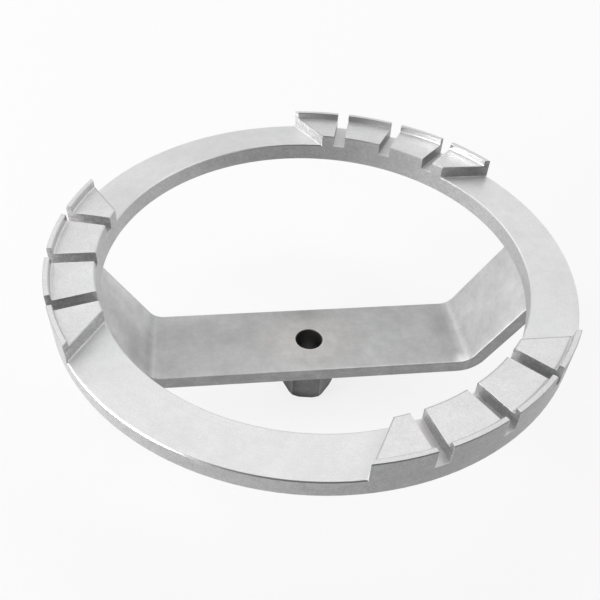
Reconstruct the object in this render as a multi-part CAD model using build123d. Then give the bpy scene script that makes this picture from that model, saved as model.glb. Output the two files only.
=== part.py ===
from build123d import *
import math
import os

# Fuel tank lock ring wrench, in millimetres.
# Z is the ring's axis, with the teeth up. X runs along the cross bar.
# The origin is the centre of the hex stub's lower face, which the tool stands on.

# Ring
ring_diameter = 168.0
ring_width = 14.7
ring_thickness = 6.2
ring_edge_break = 0.35
ring_foot_break = 0.5
ring_bore_foot_break = 0.1

# Tooth groups on the ring
group_count = 3
first_group_angle = 60.0
gap_width = 88.2
tooth_height = 4.3
tooth_edge_break = 0.3

# Slots that part the teeth of one group
slots_per_group = 3
slot_pitch_angle = 15.0
slot_width = 4.3

# Lip along the outer edge of each tooth
lip_height = 2.4
lip_wall = 1.75
lip_root_radius = 0.6
lip_edge_break = 0.25

# Cross bar, bent up at both ends
bar_width = 30.0
bar_thickness = 5.0
bar_drop = 31.9
bar_seat_inset = 5.2
ramp_angle = 59.0
bend_radius = 5.5
bar_edge_break = 0.1

# Hex stub under the bar, and the bore through both
hex_across_flats = 17.0
hex_height = 17.8
hex_turn = -9.0
hex_corner_chamfer = 1.0
bore_diameter = 9.6
bore_edge_break = 0.3

# Weld beads
end_bead_leg = 2.1
end_bead_length = 26.0
end_bead_crown = 0.4
hex_bead_leg = 2.6
hex_bead_toe = 0.1

# Heights of the stacked faces
bar_underside = hex_height
bar_top = bar_underside + bar_thickness
ring_underside = bar_top + bar_drop
ring_top = ring_underside + ring_thickness
tooth_top = ring_top + tooth_height
lip_top = tooth_top + lip_height

ring_r = ring_diameter / 2
bore_r = ring_r - ring_width
lip_inner_r = ring_r - lip_wall
group_pitch_angle = 360.0 / group_count

# Cutters run past the ring by this much
overrun = 5.0

# Two places closer than this are the same
same = 1e-6


def turned(points):
    """Solid of revolution about Z from a closed outline of (radius, height) points."""
    outline = Polyline(*[(radius, 0, height) for radius, height in points], close=True)
    return revolve(make_face(outline), Axis.Z)


def ring_foot():
    """The lower edge of the ring's section, from the bore to the outside, with both corners broken."""
    f = ring_foot_break
    i = ring_bore_foot_break
    return [
        (bore_r, ring_underside + i),
        (bore_r + i, ring_underside),
        (ring_r - f, ring_underside),
        (ring_r, ring_underside + f),
    ]


def ring_blank():
    """The plain ring, with its four edges broken."""
    b = ring_edge_break
    return turned(ring_foot() + [
        (ring_r, ring_top - b),
        (ring_r - b, ring_top),
        (bore_r + b, ring_top),
        (bore_r, ring_top - b),
    ])


def tooth_band():
    """The teeth before they are parted: one turned band with its lip and the lip's root radius."""
    t = tooth_edge_break
    e = lip_edge_break
    foot = [(radius, 0, height) for radius, height in ring_foot()]
    lower = Polyline(
        (lip_inner_r - lip_root_radius, 0, tooth_top),
        (bore_r + t, 0, tooth_top),
        (bore_r, 0, tooth_top - t),
        *foot,
        (ring_r, 0, lip_top - e),
        (ring_r - e, 0, lip_top),
        (lip_inner_r + e, 0, lip_top),
        (lip_inner_r, 0, lip_top - e),
        (lip_inner_r, 0, tooth_top + lip_root_radius),
    )
    inset = lip_root_radius * (1 - math.sqrt(0.5))
    root = ThreePointArc(
        (lip_inner_r, 0, tooth_top + lip_root_radius),
        (lip_inner_r - inset, 0, tooth_top + inset),
        (lip_inner_r - lip_root_radius, 0, tooth_top),
    )
    return revolve(make_face(lower + root), Axis.Z)


def radial_cutter(angle, width, start_r, floor):
    """A straight-sided cut of one width, out along a radius from start_r and up from its floor."""
    length = ring_r + overrun - start_r
    height = lip_top + overrun - floor
    block = Pos(start_r, 0, floor) * Box(
        length, width, height, align=(Align.MIN, Align.CENTER, Align.MIN)
    )
    return Rot(0, 0, angle) * block


def make_ring():
    """The toothed ring: a plain ring, and groups of teeth parted by gaps and slots."""
    teeth = tooth_band()
    for group in range(group_count):
        group_angle = first_group_angle + group * group_pitch_angle
        gap_angle = group_angle + group_pitch_angle / 2
        teeth -= radial_cutter(gap_angle, gap_width, 0.0, ring_underside - overrun)
    ring = ring_blank() + teeth
    first_slot = -(slots_per_group - 1) / 2
    for group in range(group_count):
        group_angle = first_group_angle + group * group_pitch_angle
        for slot in range(slots_per_group):
            slot_angle = group_angle + (first_slot + slot) * slot_pitch_angle
            ring -= radial_cutter(slot_angle, slot_width, bore_r - overrun, ring_top)
    return ring


def bar_outline():
    """Side view of the bent bar in the XZ plane, as a face with its four rounded bends."""
    slope = math.radians(ramp_angle)
    top_seat = bore_r + bar_seat_inset
    low_seat = top_seat + bar_thickness / math.sin(slope)
    top_corner = top_seat - bar_drop / math.tan(slope)
    low_corner = top_corner + bar_thickness * math.tan(slope / 2)
    face = make_face(Polyline(
        (-low_seat, 0, ring_underside),
        (-top_seat, 0, ring_underside),
        (-top_corner, 0, bar_top),
        (top_corner, 0, bar_top),
        (top_seat, 0, ring_underside),
        (low_seat, 0, ring_underside),
        (low_corner, 0, bar_underside),
        (-low_corner, 0, bar_underside),
        close=True,
    ))
    inner = [v for v in face.vertices() if abs(v.Z - bar_top) < same]
    face = fillet(inner, bend_radius)
    outer = [v for v in face.vertices() if abs(v.Z - bar_underside) < same]
    return fillet(outer, bend_radius + bar_thickness)


def bore_cutter():
    """The bore from the stub's lower face to the bar's top face, with its two mouths broken."""
    r = bore_diameter / 2
    e = bore_edge_break
    return turned([
        (0, 0),
        (r + e, 0),
        (r, e),
        (r, bar_top - e),
        (r + e, bar_top),
        (0, bar_top),
    ])


def make_bar():
    """The cross bar: flat bar bent up at both ends, with the bore and lightly broken edges."""
    bar = extrude(bar_outline(), bar_width / 2, dir=(0, 1, 0), both=True)
    side_edges = [
        edge for edge in bar.edges()
        if abs(abs(edge.center().Y) - bar_width / 2) < same
        and edge.center().Z < ring_underside - same
    ]
    return chamfer(side_edges, bar_edge_break) - bore_cutter()


def hex_face(extra=0.0):
    """The stub's hexagon, turned as it is welded on, or one grown by extra with round corners."""
    hexagon = Rot(0, 0, hex_turn) * RegularPolygon(
        hex_across_flats / 2, 6, major_radius=False
    )
    if extra > 0:
        hexagon = offset(hexagon, extra, kind=Kind.ARC)
    return hexagon


def make_hex():
    """The hex stub: corners chamfered at its lower end, and bored right through."""
    corner_r = hex_across_flats / math.sqrt(3)
    foot_r = corner_r - hex_corner_chamfer
    stub = extrude(hex_face(), hex_height)
    envelope = turned([
        (0, 0),
        (foot_r, 0),
        (foot_r + hex_height, hex_height),
        (0, hex_height),
    ])
    return (stub & envelope) - bore_cutter()


def make_end_bead(side):
    """Fillet bead outside one bar end, between the ring's underside and the bar's lower face."""
    slope = math.radians(ramp_angle)
    seat = bore_r + bar_seat_inset + bar_thickness / math.sin(slope)
    root = (side * seat, 0, ring_underside)
    on_ring = (side * (seat + end_bead_leg), 0, ring_underside)
    on_bar = (
        side * (seat - end_bead_leg * math.cos(slope)),
        0,
        ring_underside - end_bead_leg * math.sin(slope),
    )
    chord = Vector(on_bar) - Vector(on_ring)
    outward = Vector(-chord.Z, 0, chord.X).normalized()
    if outward.Z > 0:
        outward = outward * -1
    crown = (Vector(on_ring) + Vector(on_bar)) / 2 + outward * end_bead_crown
    outline = Line(root, on_ring) + ThreePointArc(on_ring, crown, on_bar) + Line(on_bar, root)
    return extrude(make_face(outline), end_bead_length / 2, dir=(0, 1, 0), both=True)


def make_hex_bead():
    """Fillet bead round the top of the hex stub, against the bar's underside."""
    band = extrude(
        Pos(0, 0, bar_underside) * hex_face(hex_bead_leg + hex_bead_toe),
        hex_bead_leg, dir=(0, 0, -1), taper=45,
    )
    inside = Pos(0, 0, bar_underside - hex_bead_leg) * extrude(hex_face(), hex_bead_leg)
    return band - inside


nodes = {
    "toothed_ring": make_ring(),
    "cross_bar": make_bar(),
    "drive_hex": make_hex(),
    "end_weld_left": make_end_bead(-1),
    "end_weld_right": make_end_bead(1),
    "hex_weld": make_hex_bead(),
}

os.makedirs("parts", exist_ok=True)
for name, shape in nodes.items():
    shape.label = name
    export_step(shape, os.path.join("parts", name + ".step"))
    print(name, round(shape.volume, 1), "mm3")
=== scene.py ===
import math

import bpy
from mathutils import Matrix, Vector


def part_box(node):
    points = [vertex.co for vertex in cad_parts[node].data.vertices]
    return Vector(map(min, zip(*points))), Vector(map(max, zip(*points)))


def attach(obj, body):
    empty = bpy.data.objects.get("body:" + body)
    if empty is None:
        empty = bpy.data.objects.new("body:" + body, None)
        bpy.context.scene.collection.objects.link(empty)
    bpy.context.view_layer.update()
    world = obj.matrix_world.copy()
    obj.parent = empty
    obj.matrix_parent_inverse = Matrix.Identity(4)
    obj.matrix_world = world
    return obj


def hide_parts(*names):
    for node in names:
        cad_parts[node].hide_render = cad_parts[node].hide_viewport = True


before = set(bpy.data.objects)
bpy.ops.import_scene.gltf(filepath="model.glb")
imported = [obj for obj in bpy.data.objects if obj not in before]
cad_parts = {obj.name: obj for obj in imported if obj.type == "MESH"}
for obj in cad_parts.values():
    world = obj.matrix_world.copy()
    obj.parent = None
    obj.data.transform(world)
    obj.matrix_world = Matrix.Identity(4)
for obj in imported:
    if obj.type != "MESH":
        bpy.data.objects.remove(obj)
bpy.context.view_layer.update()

MM = 0.001

# Camera, as fitted to the photograph. Angles in degrees, lengths in metres.
camera_azimuth = -8.61
camera_elevation = 43.394
camera_roll = 3.251
camera_distance = 0.22933
camera_aim = Vector((-6.094, -13.130, 55.0)) * MM
camera_lens = 43.352
sensor_width = 36.0

# Sizes of the CAD model that the finish follows, in millimetres
ring_width = 14.7
lip_wall = 1.75
lip_height = 2.4
tooth_height = 4.3
gap_half_width = 44.1
gap_angles = (0.0, 120.0, 240.0)
hole_radius = 4.8
bar_half_width = 15.0
bar_thickness = 5.0
ramp_angle = math.radians(59.0)
hex_across_flats = 17.0
hex_face_angle = math.radians(21.0)

# Heights and radii of the ring, in millimetres, worked out from its place in the frame
ring_low, ring_high = [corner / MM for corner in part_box("toothed_ring")]
ring_radius = ring_high.x
bore_radius = ring_radius - ring_width
lip_radius = ring_radius - lip_wall
lip_top = ring_high.z
tooth_top = lip_top - lip_height
ring_top = tooth_top - tooth_height

# Where the bar bends up, in millimetres from the middle
bar_low, bar_high = [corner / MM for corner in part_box("cross_bar")]
ramp_rise = ring_low.z - bar_low.z - bar_thickness
ramp_foot = bar_high.x - bar_thickness / math.sin(ramp_angle)
bend_place = ramp_foot - ramp_rise / math.tan(ramp_angle)


class Graph:
    """One node material being built, with a short call for each kind of node it uses."""

    def __init__(self, name):
        self.material = bpy.data.materials.new(name)
        self.material.use_nodes = True
        self.tree = self.material.node_tree
        self.shader = self.tree.nodes["Principled BSDF"]
        coordinates = self.tree.nodes.new("ShaderNodeTexCoord").outputs["Object"]
        self.place = self.vector("SCALE", coordinates, scale=1 / MM)
        self.normal = self.tree.nodes.new("ShaderNodeNewGeometry").outputs["Normal"]

    def put(self, socket, value):
        """Links a node's output to the socket, or sets a plain value on it."""
        if isinstance(value, bpy.types.NodeSocket):
            self.tree.links.new(value, socket)
        else:
            socket.default_value = value

    def calc(self, operation, a, b=0.0):
        """A Math node."""
        node = self.tree.nodes.new("ShaderNodeMath")
        node.operation = operation
        self.put(node.inputs[0], a)
        self.put(node.inputs[1], b)
        return node.outputs[0]

    def times(self, value, *factors):
        """The product of numbers."""
        for factor in factors:
            value = self.calc("MULTIPLY", value, factor)
        return value

    def invert(self, mask):
        """1 where the mask is 0, and 0 where it is 1."""
        return self.calc("SUBTRACT", 1.0, mask)

    def vector(self, operation, a, b=None, scale=None):
        """A Vector Math node. Its number or its vector comes out, as the operation gives."""
        node = self.tree.nodes.new("ShaderNodeVectorMath")
        node.operation = operation
        self.put(node.inputs[0], a)
        if b is not None:
            self.put(node.inputs[1], b)
        if scale is not None:
            self.put(node.inputs["Scale"], scale)
        gives_number = operation in ("LENGTH", "DOT_PRODUCT")
        return node.outputs["Value"] if gives_number else node.outputs["Vector"]

    def parts(self, vector):
        """The x, y and z of a vector."""
        node = self.tree.nodes.new("ShaderNodeSeparateXYZ")
        self.put(node.inputs[0], vector)
        return node.outputs[0], node.outputs[1], node.outputs[2]

    def join(self, x, y, z):
        """A vector from three numbers."""
        node = self.tree.nodes.new("ShaderNodeCombineXYZ")
        for socket, value in zip(node.inputs, (x, y, z)):
            self.put(socket, value)
        return node.outputs[0]

    def step(self, value, low, high, start=0.0, end=1.0):
        """A smooth step from start to end as value goes from low to high."""
        node = self.tree.nodes.new("ShaderNodeMapRange")
        node.interpolation_type = "SMOOTHSTEP"
        for socket, number in zip(node.inputs, (value, low, high, start, end)):
            self.put(socket, number)
        return node.outputs[0]

    def near(self, value, centre, reach):
        """1 where value is at centre, falling smoothly to 0 at reach from it."""
        distance = self.calc("ABSOLUTE", self.calc("SUBTRACT", value, centre))
        return self.step(distance, 0.0, reach, 1.0, 0.0)

    def noise(self, vector, scale, detail, roughness=0.5):
        """Noise from about 0 to 1, scale cycles to each unit of the vector."""
        node = self.tree.nodes.new("ShaderNodeTexNoise")
        self.put(node.inputs["Vector"], vector)
        self.put(node.inputs["Scale"], scale)
        self.put(node.inputs["Detail"], detail)
        self.put(node.inputs["Roughness"], roughness)
        return node.outputs[0]

    def streaks(self, x, y, z):
        """Noise over a place that is stretched, so that it runs in streaks."""
        return self.noise(self.join(x, y, z), 1.0, 3.0, 0.6)

    def swing(self, noise, amount):
        """Noise about 0.5 as a factor about 1 that goes amount up and down."""
        centred = self.times(self.calc("SUBTRACT", noise, 0.5), 4.0)
        return self.calc("ADD", self.times(centred, amount), 1.0)

    def blend(self, factor, a, b):
        """From number a to number b as factor goes from 0 to 1."""
        node = self.tree.nodes.new("ShaderNodeMix")
        node.data_type = "FLOAT"
        for socket, value in zip(node.inputs[0:1] + node.inputs[2:4], (factor, a, b)):
            self.put(socket, value)
        return node.outputs[0]

    def shaded(self, level, mask, factor):
        """The level, times factor where the mask is 1."""
        return self.times(level, self.blend(mask, 1.0, factor))

    def tint(self, factor, a, b):
        """From colour a to colour b as factor goes from 0 to 1."""
        node = self.tree.nodes.new("ShaderNodeMix")
        node.data_type = "RGBA"
        for socket, value in zip(node.inputs[0:1] + node.inputs[6:8], (factor, a, b)):
            self.put(socket, value)
        return node.outputs[2]

    def bump(self, height, distance, under=None):
        """A bump from a height of 0 to 1 that stands distance millimetres proud."""
        node = self.tree.nodes.new("ShaderNodeBump")
        self.put(node.inputs["Height"], height)
        self.put(node.inputs["Distance"], distance * MM)
        if under is not None:
            self.put(node.inputs["Normal"], under)
        return node.outputs[0]

    def bevel(self, radius):
        """A Bevel node that breaks each edge to that radius in millimetres."""
        node = self.tree.nodes.new("ShaderNodeBevel")
        node.samples = 8
        self.put(node.inputs["Radius"], self.times(radius, MM))
        return node

    def rounded(self, radius, under):
        """The normal with each edge broken to that radius in millimetres, and how near an edge is."""
        skin = self.bevel(radius)
        self.put(skin.inputs["Normal"], under)
        plain = self.bevel(radius)
        turned = self.vector("DOT_PRODUCT", plain.outputs[0], self.normal)
        return skin.outputs[0], self.step(turned, 0.995, 0.85)

    def finish(self, level, hue, roughness, normal, metallic):
        """Sets the metal: level is its brightness and hue its tint."""
        colour = self.vector("SCALE", hue, scale=level)
        self.put(self.shader.inputs["Base Color"], colour)
        self.put(self.shader.inputs["Roughness"], roughness)
        self.put(self.shader.inputs["Normal"], normal)
        self.put(self.shader.inputs["Metallic"], metallic)
        return self.material


# Tints of the plating: neutral, and the faint casts that wander over it
neutral = (1.0, 0.999, 1.001, 1.0)
pink_cast = (1.025, 0.985, 0.995, 1.0)
green_cast = (0.985, 1.005, 1.0, 1.0)
warm_cast = (1.03, 1.0, 0.96, 1.0)

# How much of a plated surface reflects as bare metal
metallic_share = 0.75
outer_wall_metallic = 0.48

# Brightness of the ring's surfaces. The outer and inner walls are set darker than the top partly as
# painted shade.
ring_top_level = 0.785
outer_wall_level = 0.413
inner_wall_level = 0.47
milled_level = 0.54
lip_face_level = 0.63
# A painted highlight along the foot of each end face of the tooth groups
root_highlight_level = 1.1
# Lighter levels on the edges and chamfers of the teeth, lips and bore: painted highlights
tooth_edge_highlight_level = 0.80
lip_edge_highlight_level = 0.6
bore_edge_highlight_level = 0.68

# Brightness of the bar, the hex stub and the weld metal
bar_level = 0.525
left_ramp_level = 0.625
right_ramp_level = 0.58
bar_side_level = 0.295
# A painted highlight on the bar's edges
bar_edge_highlight_level = 0.72
# The hex stub is set dark partly as painted shade under the bar
hex_level = 0.145
hex_edge_level = 0.10
# Painted shade inside the bore through the bar and the hex stub
hole_shade_level = 0.13
weld_level = 0.5


def plating_hue(graph):
    """The plating's tint, with soft pink and green casts 15 to 30 mm across."""
    elsewhere = graph.vector("ADD", graph.place, (71, 13, 5))
    pink = graph.step(graph.noise(graph.place, 0.045, 2.0), 0.52, 0.8, 0.0, 0.6)
    green = graph.step(graph.noise(elsewhere, 0.05, 2.0), 0.52, 0.8, 0.0, 0.6)
    hue = graph.tint(pink, neutral, pink_cast)
    return graph.tint(green, hue, green_cast)


def speckled(graph, level, fine, middle, coarse):
    """The level with grain of 0.5 mm, mottle of 1.5 mm and patches of 4 mm, and the grain on its own."""
    grain = graph.noise(graph.place, 2.2, 2.0, 0.6)
    mottle = graph.noise(graph.vector("ADD", graph.place, (3, 17, 29)), 0.75, 1.0)
    patches = graph.noise(graph.vector("ADD", graph.place, (41, 5, 11)), 0.27, 1.0)
    for noise, amount in ((grain, fine), (mottle, middle), (patches, coarse)):
        level = graph.times(level, graph.swing(noise, amount))
    return level, grain


def marked(graph, level, x, y, marks):
    """The level with soft oval marks on it, which carry painted light and shade."""
    for middle_x, middle_y, reach_x, reach_y, factor in marks:
        across = graph.calc("DIVIDE", graph.calc("SUBTRACT", x, middle_x), reach_x)
        along = graph.calc("DIVIDE", graph.calc("SUBTRACT", y, middle_y), reach_y)
        inside = graph.near(graph.vector("LENGTH", graph.join(across, along, 0.0)), 0.0, 1.0)
        level = graph.shaded(level, inside, factor)
    return level


# Painted light and shade on the ring's outer wall, as soft marks: middle and reach in x and y in
# millimetres, and factor on brightness
outer_wall_light_and_shade = (
    (22.0, -84.0, 72.0, 40.0, 0.88),
    (-70.0, -50.0, 34.0, 34.0, 1.18),
)

# Painted light and shade on the ring's inner wall, as marks in the same way
inner_wall_light_and_shade = (
    (0.0, 69.0, 60.0, 30.0, 0.84),
    (64.0, 24.0, 22.0, 22.0, 1.10),
)

# Painted light and shade on the milled faces of its teeth, as marks in the same way
milled_light_and_shade = (
    (45.0, 60.0, 45.0, 45.0, 0.62),
    (7.0, 76.0, 18.0, 18.0, 1.42),
    (66.0, 44.0, 16.0, 16.0, 0.75),
    (-77.0, -20.0, 14.0, 14.0, 0.80),
)

# Painted light and shade on the inner faces of its lips, as marks in the same way
lip_light_and_shade = (
    (59.0, -59.0, 24.0, 24.0, 0.48),
    (21.0, 81.0, 16.0, 16.0, 0.62),
    (62.0, 55.0, 28.0, 28.0, 1.40),
)


def end_lines(graph, z, place, reach, height):
    """1 along thin lines at the ends of the tooth groups, at a place across the gap and a height."""
    lines = 0.0
    for angle in gap_angles:
        a = math.radians(angle)
        along = graph.vector("DOT_PRODUCT", graph.place, (math.cos(a), math.sin(a), 0.0))
        sideways = graph.vector("DOT_PRODUCT", graph.place, (-math.sin(a), math.cos(a), 0.0))
        across = graph.calc("ABSOLUTE", sideways)
        line = graph.times(graph.near(across, place, reach), graph.step(along, 0.0, 1.0))
        lines = graph.calc("MAXIMUM", lines, line)
    return graph.times(lines, graph.near(z, height, 0.3))


def ring_material():
    """The ring: faced top, turned walls, milled slots and ends, all under one dull plating, with painted
    light and shade on it.
    """
    g = Graph("ring_plating")
    x, y, z = g.parts(g.place)
    nz = g.parts(g.normal)[2]
    tilt = g.calc("ABSOLUTE", nz)
    angle = g.calc("ARCTAN2", y, x)
    flat_place = g.join(x, y, 0.0)
    radius = g.vector("LENGTH", flat_place)
    outward = g.vector("NORMALIZE", flat_place)
    facing_out = g.calc("ABSOLUTE", g.vector("DOT_PRODUCT", outward, g.normal))

    # Where each surface of the ring is
    upright = g.step(tilt, 0.35, 0.6, 1.0, 0.0)
    radial = g.step(facing_out, 0.86, 0.95)
    outer_wall = g.times(g.near(radius, ring_radius, 0.6), upright)
    inner_wall = g.times(g.near(radius, bore_radius, 0.6), upright)
    milled = g.times(upright, g.invert(radial))
    wall = g.calc("MAXIMUM", g.calc("MAXIMUM", outer_wall, inner_wall), milled)
    broken = g.near(nz, 0.707, 0.22)
    on_teeth = g.step(z, tooth_top - 2.0, tooth_top - 1.0)
    lip_band = g.times(g.step(radius, lip_radius - 0.75, lip_radius - 0.55),
                       g.step(radius, lip_radius + 0.3, lip_radius + 0.1))
    above_teeth = g.step(z, tooth_top + 0.01, tooth_top + 0.1)
    not_flat = g.step(tilt, 0.9, 0.97, 1.0, 0.0)
    lip_face = g.times(lip_band, above_teeth, not_flat, g.invert(milled))

    # How bright each surface is, with painted light and shade in soft marks and thin lines
    level = g.blend(outer_wall, ring_top_level, marked(g, outer_wall_level, x, y, outer_wall_light_and_shade))
    level = g.blend(inner_wall, level, marked(g, inner_wall_level, x, y, inner_wall_light_and_shade))
    milled_patches = g.noise(g.vector("ADD", g.place, (7, 31, 2)), 0.02, 1.0)
    patchy_level = g.times(milled_level, g.swing(milled_patches, 0.15))
    level = g.blend(milled, level, marked(g, patchy_level, x, y, milled_light_and_shade))
    level = g.blend(lip_face, level, marked(g, lip_face_level, x, y, lip_light_and_shade))
    # Painted highlight: a bright line along the foot of each end face
    root_highlight = end_lines(g, z, gap_half_width - 0.2, 0.45, ring_top)
    # Painted shade: dark lines along the top edges of the end teeth, and the top of the lips a little
    # darker
    end_edge_shade = end_lines(g, z, gap_half_width + 0.15, 0.4, tooth_top)
    lip_top_shade = g.step(z, lip_top - 0.6, lip_top - 0.1)
    level = g.blend(root_highlight, level, root_highlight_level)
    level = g.shaded(level, end_edge_shade, 0.62)
    level = g.shaded(level, lip_top_shade, 0.95)

    # Clouds, tool marks and grain
    clouds = g.noise(g.place, 0.09, 3.0)
    turning = g.streaks(g.times(radius, 2.6), g.times(angle, 1.5), 0.0)
    lay = g.streaks(g.times(radius, 0.25), g.times(angle, 4.0), g.times(z, 3.0))
    machined = g.blend(wall, turning, lay)
    machined_depth = g.blend(milled, g.blend(wall, 0.02, 0.06), 0.22)
    level = g.times(level, g.swing(clouds, 0.04), g.swing(machined, machined_depth))
    fine = g.blend(wall, g.blend(on_teeth, 0.07, 0.10), g.blend(milled, 0.22, 0.28))
    middle = g.blend(wall, 0.02, g.blend(milled, 0.07, 0.12))
    coarse = g.blend(wall, 0.02, 0.04)
    level, grain = speckled(g, level, fine, middle, coarse)

    # Bumps, painted highlights on the edges, and thin lines of painted shade
    skin = g.bump(g.times(grain, g.blend(lip_face, 1.0, 0.3)), 0.018, g.bump(machined, 0.012))
    uneven = g.swing(g.noise(g.place, 0.8, 3.0, 0.7), 0.35)
    normal, edge = g.rounded(g.times(0.12, uneven), skin)
    above_foot = g.step(z, ring_low.z + 1.5, ring_low.z + 2.5)
    # Edges and chamfers are made lighter: a painted highlight
    edge_highlight = g.calc("MAXIMUM", g.times(edge, above_foot), broken)
    bright = g.calc("MAXIMUM", edge_highlight, lip_face)
    on_lips = g.step(z, tooth_top + 1.2, tooth_top + 1.8)
    at_bore = g.near(radius, bore_radius, 2.0)
    edge_highlight_level = g.blend(on_lips, tooth_edge_highlight_level, lip_edge_highlight_level)
    level = g.blend(edge_highlight, level, g.blend(at_bore, edge_highlight_level, bore_edge_highlight_level))
    # Painted shade: thin dark lines at the lip roots and inner tooth edges at the front
    lip_root = g.times(g.near(radius, lip_radius - 0.7, 0.5), g.near(z, tooth_top, 0.6))
    inner_edge = g.times(g.near(radius, bore_radius + 0.2, 0.5), on_teeth)
    at_front = g.step(y, -35.0, -50.0)
    front_shade_lines = g.times(g.calc("MAXIMUM", lip_root, inner_edge), at_front)
    level = g.shaded(level, front_shade_lines, 0.65)
    roughness = g.calc("ADD", g.blend(wall, 0.43, 0.35), g.times(grain, 0.12))
    roughness = g.blend(bright, roughness, 0.33)
    metallic = g.blend(outer_wall, metallic_share, outer_wall_metallic)
    metallic = g.blend(bright, metallic, 1.0)
    return g.finish(level, plating_hue(g), roughness, normal, metallic)


# Painted light and shade on the bar's upper face, as marks in the same way, among them a painted highlight
# near the front of the right bend
bar_light_and_shade = (
    (0.0, 13.5, 18.0, 8.0, 0.80),
    (-44.0, 14.0, 18.0, 5.0, 1.14),
    (-24.0, 2.0, 14.0, 9.0, 0.92),
    (50.0, 5.0, 6.0, 13.0, 0.86),
    (52.5, -14.0, 3.5, 5.0, 1.60),
    (-66.0, -1.0, 9.0, 9.0, 0.86),
    (-66.0, 14.0, 8.0, 6.0, 1.18),
    (-61.0, -7.0, 4.0, 11.0, 0.82),
)


def bar_material():
    """The bar: rolled flat stock with a clouded, blasted face and darker sides."""
    g = Graph("bar_plating")
    x, y, z = g.parts(g.place)
    ny = g.parts(g.normal)[1]
    from_middle = g.calc("ABSOLUTE", x)
    from_hole = g.vector("LENGTH", g.join(x, y, 0.0))

    # Where each part of the bar is
    side = g.step(g.calc("ABSOLUTE", ny), 0.75, 0.95)
    bore = g.calc("LESS_THAN", from_hole, hole_radius + 0.1)
    left = g.step(x, -bend_place - 3, -bend_place + 1, 1.0, 0.0)
    right = g.step(x, bend_place - 1, bend_place + 3)
    near_edge = g.step(y, 4.0 - bar_half_width, 0.4 - bar_half_width)
    front_edge_highlight = g.times(g.near(y, 0.2 - bar_half_width, 0.5), g.step(x, -15.0, 15.0))
    halo = g.near(from_hole, 7.5, 5.0)
    hole_rim_highlight = g.near(from_hole, hole_radius + 0.45, 0.45)
    crease = g.near(from_middle, bend_place - 0.3, 1.0)
    beyond = g.near(from_middle, bend_place + 1.3, 0.7)

    # How bright each part is, with painted light and shade
    level = g.blend(left, bar_level, left_ramp_level)
    level = g.blend(right, level, right_ramp_level)
    level = g.shaded(level, near_edge, 1.06)
    # A painted highlight along the front edge of the bar's middle
    level = g.shaded(level, front_edge_highlight, 1.25)
    level = marked(g, level, x, y, bar_light_and_shade)
    level = g.shaded(level, halo, 1.05)
    # A painted highlight round the rim of the hole
    level = g.shaded(level, hole_rim_highlight, 1.12)
    level = g.blend(side, level, bar_side_level)
    # A painted highlight along each bend, and faint painted shade just beyond it; the crease's lower
    # roughness is real polish
    level = g.shaded(level, crease, 1.08)
    level = g.shaded(level, beyond, 0.96)

    # Clouds, drawn lines and grain
    clouds = g.noise(g.place, 0.08, 4.0, 0.6)
    drawn = g.streaks(g.times(x, 0.06), g.times(y, 0.8), g.times(z, 1.5))
    level = g.times(level, g.swing(clouds, 0.11), g.swing(drawn, g.blend(side, 0.02, 0.06)))
    ramp = g.calc("MAXIMUM", left, right)
    fine = g.blend(side, g.blend(ramp, 0.045, 0.06), 0.20)
    middle = g.blend(side, 0.035, 0.08)
    coarse = g.blend(side, 0.05, 0.07)
    level, grain = speckled(g, level, fine, middle, coarse)
    level = g.blend(bore, level, hole_shade_level)

    # Tint, bumps and painted highlights on the edges
    round_hole = g.vector("LENGTH", g.join(x, g.times(y, 1.4), 0.0))
    hue = g.tint(g.step(round_hole, 6.0, 22.0, 0.8, 0.0), plating_hue(g), warm_cast)
    normal, edge = g.rounded(0.15, g.bump(grain, 0.03, g.bump(drawn, 0.015)))
    level = g.blend(g.times(edge, g.invert(bore)), level, bar_edge_highlight_level)
    roughness = g.calc("ADD", g.blend(crease, 0.42, 0.34), g.times(clouds, 0.14))
    return g.finish(level, hue, roughness, normal, metallic_share)


# Painted shade and light on the hex stub, as marks in the same way
hex_light_and_shade = (
    (-10.0, -4.0, 10.0, 9.0, 0.12),
    (9.5, -7.0, 8.0, 8.0, 0.25),
    (-6.0, 8.0, 7.0, 7.0, 0.70),
    (9.0, 4.0, 6.0, 6.0, 1.15),
)


def hex_material():
    """The hex stub: drawn bar with faint lengthwise lines, painted shade darkening its lower edge, and
    painted shade in its bore.
    """
    g = Graph("hex_plating")
    x, y, z = g.parts(g.place)
    bore = g.calc("LESS_THAN", g.vector("LENGTH", g.join(x, y, 0.0)), hole_radius + 0.1)
    lines = g.streaks(g.times(x, 2.0), g.times(y, 2.0), g.times(z, 0.15))
    # Darker towards the bottom: painted shade
    level = g.times(hex_level, g.swing(lines, 0.06), g.step(z, 0.3, 4.5, 0.55, 1.0))
    level = marked(g, level, x, y, hex_light_and_shade)
    level, grain = speckled(g, level, 0.14, 0.09, 0.08)
    level = g.blend(bore, level, hole_shade_level)
    normal, edge = g.rounded(0.25, g.bump(grain, 0.03, g.bump(lines, 0.02)))
    level = g.blend(g.times(edge, g.invert(bore)), level, hex_edge_level)
    roughness = g.calc("ADD", 0.34, g.times(grain, 0.12))
    return g.finish(level, plating_hue(g), roughness, normal, 1.0)


def weld_material():
    """Weld metal: a coarser skin, with blotches."""
    g = Graph("weld_plating")
    grain = g.noise(g.place, 1.2, 4.0, 0.6)
    blotches = g.noise(g.place, 0.3, 2.0)
    level = g.times(weld_level, g.swing(blotches, 0.1), g.swing(grain, 0.05))
    normal = g.bump(grain, 0.04)
    roughness = g.calc("ADD", 0.32, g.times(grain, 0.16))
    return g.finish(level, plating_hue(g), roughness, normal, metallic_share)


def dress(node, material):
    """Gives a CAD node its material."""
    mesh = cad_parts[node].data
    mesh.materials.clear()
    mesh.materials.append(material)


dress("toothed_ring", ring_material())
dress("cross_bar", bar_material())
dress("drive_hex", hex_material())
weld_metal = weld_material()

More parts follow.
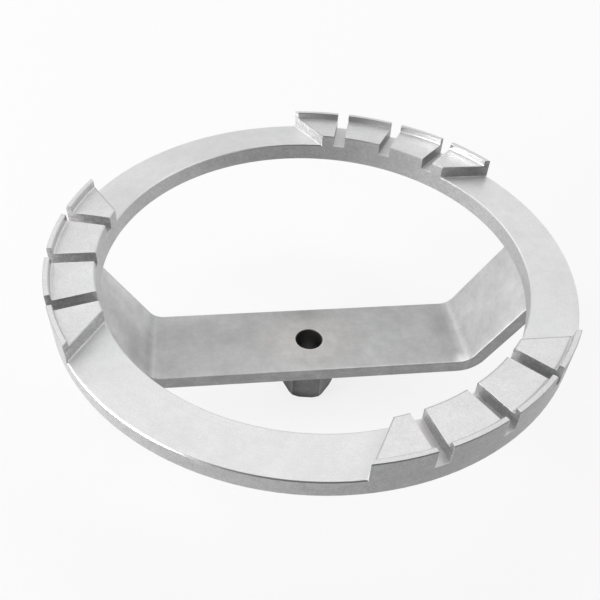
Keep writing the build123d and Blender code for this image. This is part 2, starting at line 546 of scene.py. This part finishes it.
# Weld beads, in metres
ripple_pitch = 1.5 * MM
ripple_height = 0.16 * MM
ripple_bow = 1.1 * MM
end_bead_crown = 0.3 * MM
end_bead_rounding = 1.6 * MM
hex_bead_crown = 0.35 * MM

# Loops to each ripple, and steps across a bead's face
ripple_steps = 12
section_steps = 16


def ripple(along, across):
    """Height of the ripples at a place along the bead, and across it from 0 to 1."""
    wander = 0.35 * MM * math.sin(along / (4.1 * MM)) + 0.2 * MM * math.sin(along / (1.7 * MM) + 1.3)
    middle = 1 - (2 * across - 1) ** 2
    phase = (along + wander - ripple_bow * middle) / ripple_pitch
    share = phase - math.floor(phase)
    return ripple_height * (1 - (2 * share - 1) ** 2) * math.sqrt(max(middle, 0.0))


def bead_mesh(name, loops, closed):
    """A closed skin through loops of points, each loop one section of the bead."""
    count = len(loops[0])
    vertices = [point for loop in loops for point in loop]
    faces = []
    spans = len(loops) if closed else len(loops) - 1
    for i in range(spans):
        a = i * count
        b = ((i + 1) % len(loops)) * count
        for j in range(count):
            k = (j + 1) % count
            faces.append((a + j, a + k, b + k, b + j))
    if not closed:
        faces.append(tuple(range(count))[::-1])
        faces.append(tuple((len(loops) - 1) * count + j for j in range(count)))
    mesh = bpy.data.meshes.new(name)
    mesh.from_pydata(vertices, [], faces)
    mesh.validate()
    mesh.update()
    bead = bpy.data.objects.new(name, mesh)
    bpy.context.scene.collection.objects.link(bead)
    mesh.materials.append(weld_metal)
    for polygon in mesh.polygons:
        polygon.use_smooth = len(polygon.vertices) == 4
    return bead


def section(root, first, last, outward, crown, along):
    """One section of a fillet bead: its root, and its rippled face from toe to toe."""
    points = [root]
    for j in range(section_steps + 1):
        t = j / section_steps
        bulge = 4 * crown * t * (1 - t) + ripple(along, t)
        points.append(first.lerp(last, t) + outward * bulge)
    return points


def end_bead(node, side):
    """The bead outside one end of the bar, under the ring."""
    low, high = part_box(node)
    width = high.x - low.x
    height = high.z - low.z
    slope = 2 * math.atan(height / width)
    leg = width / (1 + math.cos(slope))
    seat = max(abs(low.x), abs(high.x)) - leg
    length = high.y - low.y
    steps = round(length / ripple_pitch * ripple_steps)
    loops = []
    for i in range(steps + 1):
        along = length * i / steps
        to_end = min(along, length - along)
        inwards = min(to_end / end_bead_rounding, 1.0)
        swell = math.sqrt(max(1 - (1 - inwards) ** 2, 0.02))
        y = low.y + along
        root = Vector((side * seat, y, high.z))
        reach = leg * swell
        first = root + Vector((side * reach, 0, 0))
        last = root - Vector((side * reach * math.cos(slope), 0, reach * math.sin(slope)))
        chord = last - first
        outward = Vector((-chord.z, 0, chord.x)).normalized()
        if outward.z > 0:
            outward = -outward
        loops.append(section(root, first, last, outward, end_bead_crown * swell, along))
    bead = bead_mesh("rippled_" + node, loops, False)
    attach(bead, "root")
    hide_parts(node)


def hex_bead():
    """The bead round the top of the hex stub, under the bar: along each flat, then round its corner."""
    low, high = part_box("hex_weld")
    leg = high.z - low.z
    flat_distance = hex_across_flats / 2 * MM
    side_length = hex_across_flats / math.sqrt(3) * MM
    corner_turn = math.radians(60)
    corner_length = corner_turn * leg / 2
    straight_steps = round(side_length / ripple_pitch * ripple_steps)
    turn_steps = round(corner_length / ripple_pitch * ripple_steps)
    stations = []
    along = 0.0
    for face in range(6):
        heading = hex_face_angle + corner_turn * face
        normal = Vector((math.cos(heading), math.sin(heading), 0))
        left = Vector((-normal.y, normal.x, 0))
        start = normal * flat_distance - left * side_length / 2
        for i in range(straight_steps):
            share = i / straight_steps
            stations.append((start + left * side_length * share, normal, along + side_length * share))
        along += side_length
        corner = start + left * side_length
        for i in range(turn_steps):
            share = i / turn_steps
            turned = Matrix.Rotation(corner_turn * share, 3, "Z") @ normal
            stations.append((corner, turned, along + corner_length * share))
        along += corner_length
    fit = round(along / ripple_pitch) * ripple_pitch / along
    loops = []
    for base, normal, place in stations:
        root = Vector((base.x, base.y, high.z))
        first = root + normal * leg
        last = root - Vector((0, 0, leg))
        outward = (normal - Vector((0, 0, 1))).normalized()
        loops.append(section(root, first, last, outward, hex_bead_crown, place * fit))
    bead = bead_mesh("rippled_hex_weld", loops, True)
    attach(bead, "root")
    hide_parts("hex_weld")


end_bead("end_weld_left", -1)
end_bead("end_weld_right", 1)
hex_bead()


def floor():
    """A plain pale floor. It looks white, and a fifth of its light is real, so a faint shadow stays."""
    half = 20.0
    paper = 0.93
    glow_share = 0.8
    corners = [(-half, -half, 0), (half, -half, 0), (half, half, 0), (-half, half, 0)]
    mesh = bpy.data.meshes.new("floor")
    mesh.from_pydata(corners, [], [(0, 1, 2, 3)])
    plane = bpy.data.objects.new("floor", mesh)
    bpy.context.scene.collection.objects.link(plane)
    material = bpy.data.materials.new("floor_paper")
    material.use_nodes = True
    tree = material.node_tree
    shader = tree.nodes["Principled BSDF"]
    shader.inputs["Base Color"].default_value = (paper, paper, paper, 1)
    shader.inputs["Roughness"].default_value = 0.9
    shader.inputs["Specular IOR Level"].default_value = 0.0
    path = tree.nodes.new("ShaderNodeLightPath")
    seen = path.outputs["Is Camera Ray"]
    for ray in ("Is Glossy Ray", "Is Transmission Ray"):
        either = tree.nodes.new("ShaderNodeMath")
        either.operation = "MAXIMUM"
        tree.links.new(seen, either.inputs[0])
        tree.links.new(path.outputs[ray], either.inputs[1])
        seen = either.outputs[0]
    share = tree.nodes.new("ShaderNodeMath")
    share.operation = "MULTIPLY"
    share.inputs[1].default_value = glow_share
    tree.links.new(seen, share.inputs[0])
    glow = tree.nodes.new("ShaderNodeEmission")
    mix = tree.nodes.new("ShaderNodeMixShader")
    tree.links.new(share.outputs[0], mix.inputs[0])
    tree.links.new(shader.outputs[0], mix.inputs[1])
    tree.links.new(glow.outputs[0], mix.inputs[2])
    tree.links.new(mix.outputs[0], tree.nodes["Material Output"].inputs["Surface"])
    mesh.materials.append(material)


def soft_light(name, azimuth, elevation, size, power):
    """A square soft box a metre away that faces the middle of the ring. Azimuth 0 is +X and 90 is +Y."""
    lamp = bpy.data.lights.new(name, "AREA")
    lamp.shape = "SQUARE"
    lamp.size = size
    lamp.energy = power
    light = bpy.data.objects.new(name, lamp)
    bpy.context.scene.collection.objects.link(light)
    a = math.radians(azimuth)
    e = math.radians(elevation)
    away = Vector((math.cos(a) * math.cos(e), math.sin(a) * math.cos(e), math.sin(e)))
    light.location = Vector((0, 0, ring_top * MM)) + away
    light.rotation_euler = away.to_track_quat("Z", "Y").to_euler()
    light.visible_camera = False


def lights():
    """A strong low light from the left, and soft boxes to the sides, behind and above."""
    soft_light("light_left", 196, 8, 0.5, 9.6)
    soft_light("light_left_high", 180, 50, 0.7, 1.4)
    soft_light("light_right_high", 0, 50, 0.7, 2.1)
    soft_light("light_left_back", 135, 30, 0.7, 2.0)
    soft_light("light_right_back", 45, 30, 0.7, 1.3)
    soft_light("light_back_low", 90, 22, 0.8, 1.0)
    soft_light("light_back_high", 90, 68, 0.7, 2.2)


def surround():
    """The studio round the object: pale near the horizon, and dim above."""
    world = bpy.data.worlds.new("studio")
    bpy.context.scene.world = world
    world.use_nodes = True
    tree = world.node_tree
    sky = tree.nodes["Background"]
    sky.inputs["Color"].default_value = (1, 1, 1, 1)
    height = tree.nodes.new("ShaderNodeSeparateXYZ")
    fade = tree.nodes.new("ShaderNodeMapRange")
    fade.interpolation_type = "SMOOTHSTEP"
    for name, number in (("From Min", 0.12), ("From Max", 0.3), ("To Min", 0.8), ("To Max", 0.1)):
        fade.inputs[name].default_value = number
    tree.links.new(tree.nodes.new("ShaderNodeTexCoord").outputs["Generated"], height.inputs[0])
    tree.links.new(height.outputs["Z"], fade.inputs["Value"])
    tree.links.new(fade.outputs[0], sky.inputs["Strength"])


def camera():
    """The camera, turned and placed as the photograph shows the tool."""
    azimuth = math.radians(camera_azimuth)
    elevation = math.radians(camera_elevation)
    roll = math.radians(camera_roll)
    back = Vector((
        math.sin(azimuth) * math.cos(elevation),
        -math.cos(azimuth) * math.cos(elevation),
        math.sin(elevation),
    ))
    level = Vector((0, 0, 1)).cross(back).normalized()
    up = back.cross(level)
    right = level * math.cos(roll) + up * math.sin(roll)
    up = up * math.cos(roll) - level * math.sin(roll)
    data = bpy.data.cameras.new("camera")
    data.lens = camera_lens
    data.sensor_width = sensor_width
    data.clip_start = 0.01
    data.clip_end = 100
    view = bpy.data.objects.new("camera", data)
    bpy.context.scene.collection.objects.link(view)
    turn = Matrix((right, up, back)).transposed().to_4x4()
    view.matrix_world = Matrix.Translation(camera_aim + back * camera_distance) @ turn
    bpy.context.scene.camera = view


floor()
lights()
surround()
camera()
bpy.context.scene.view_settings.view_transform = "Standard"
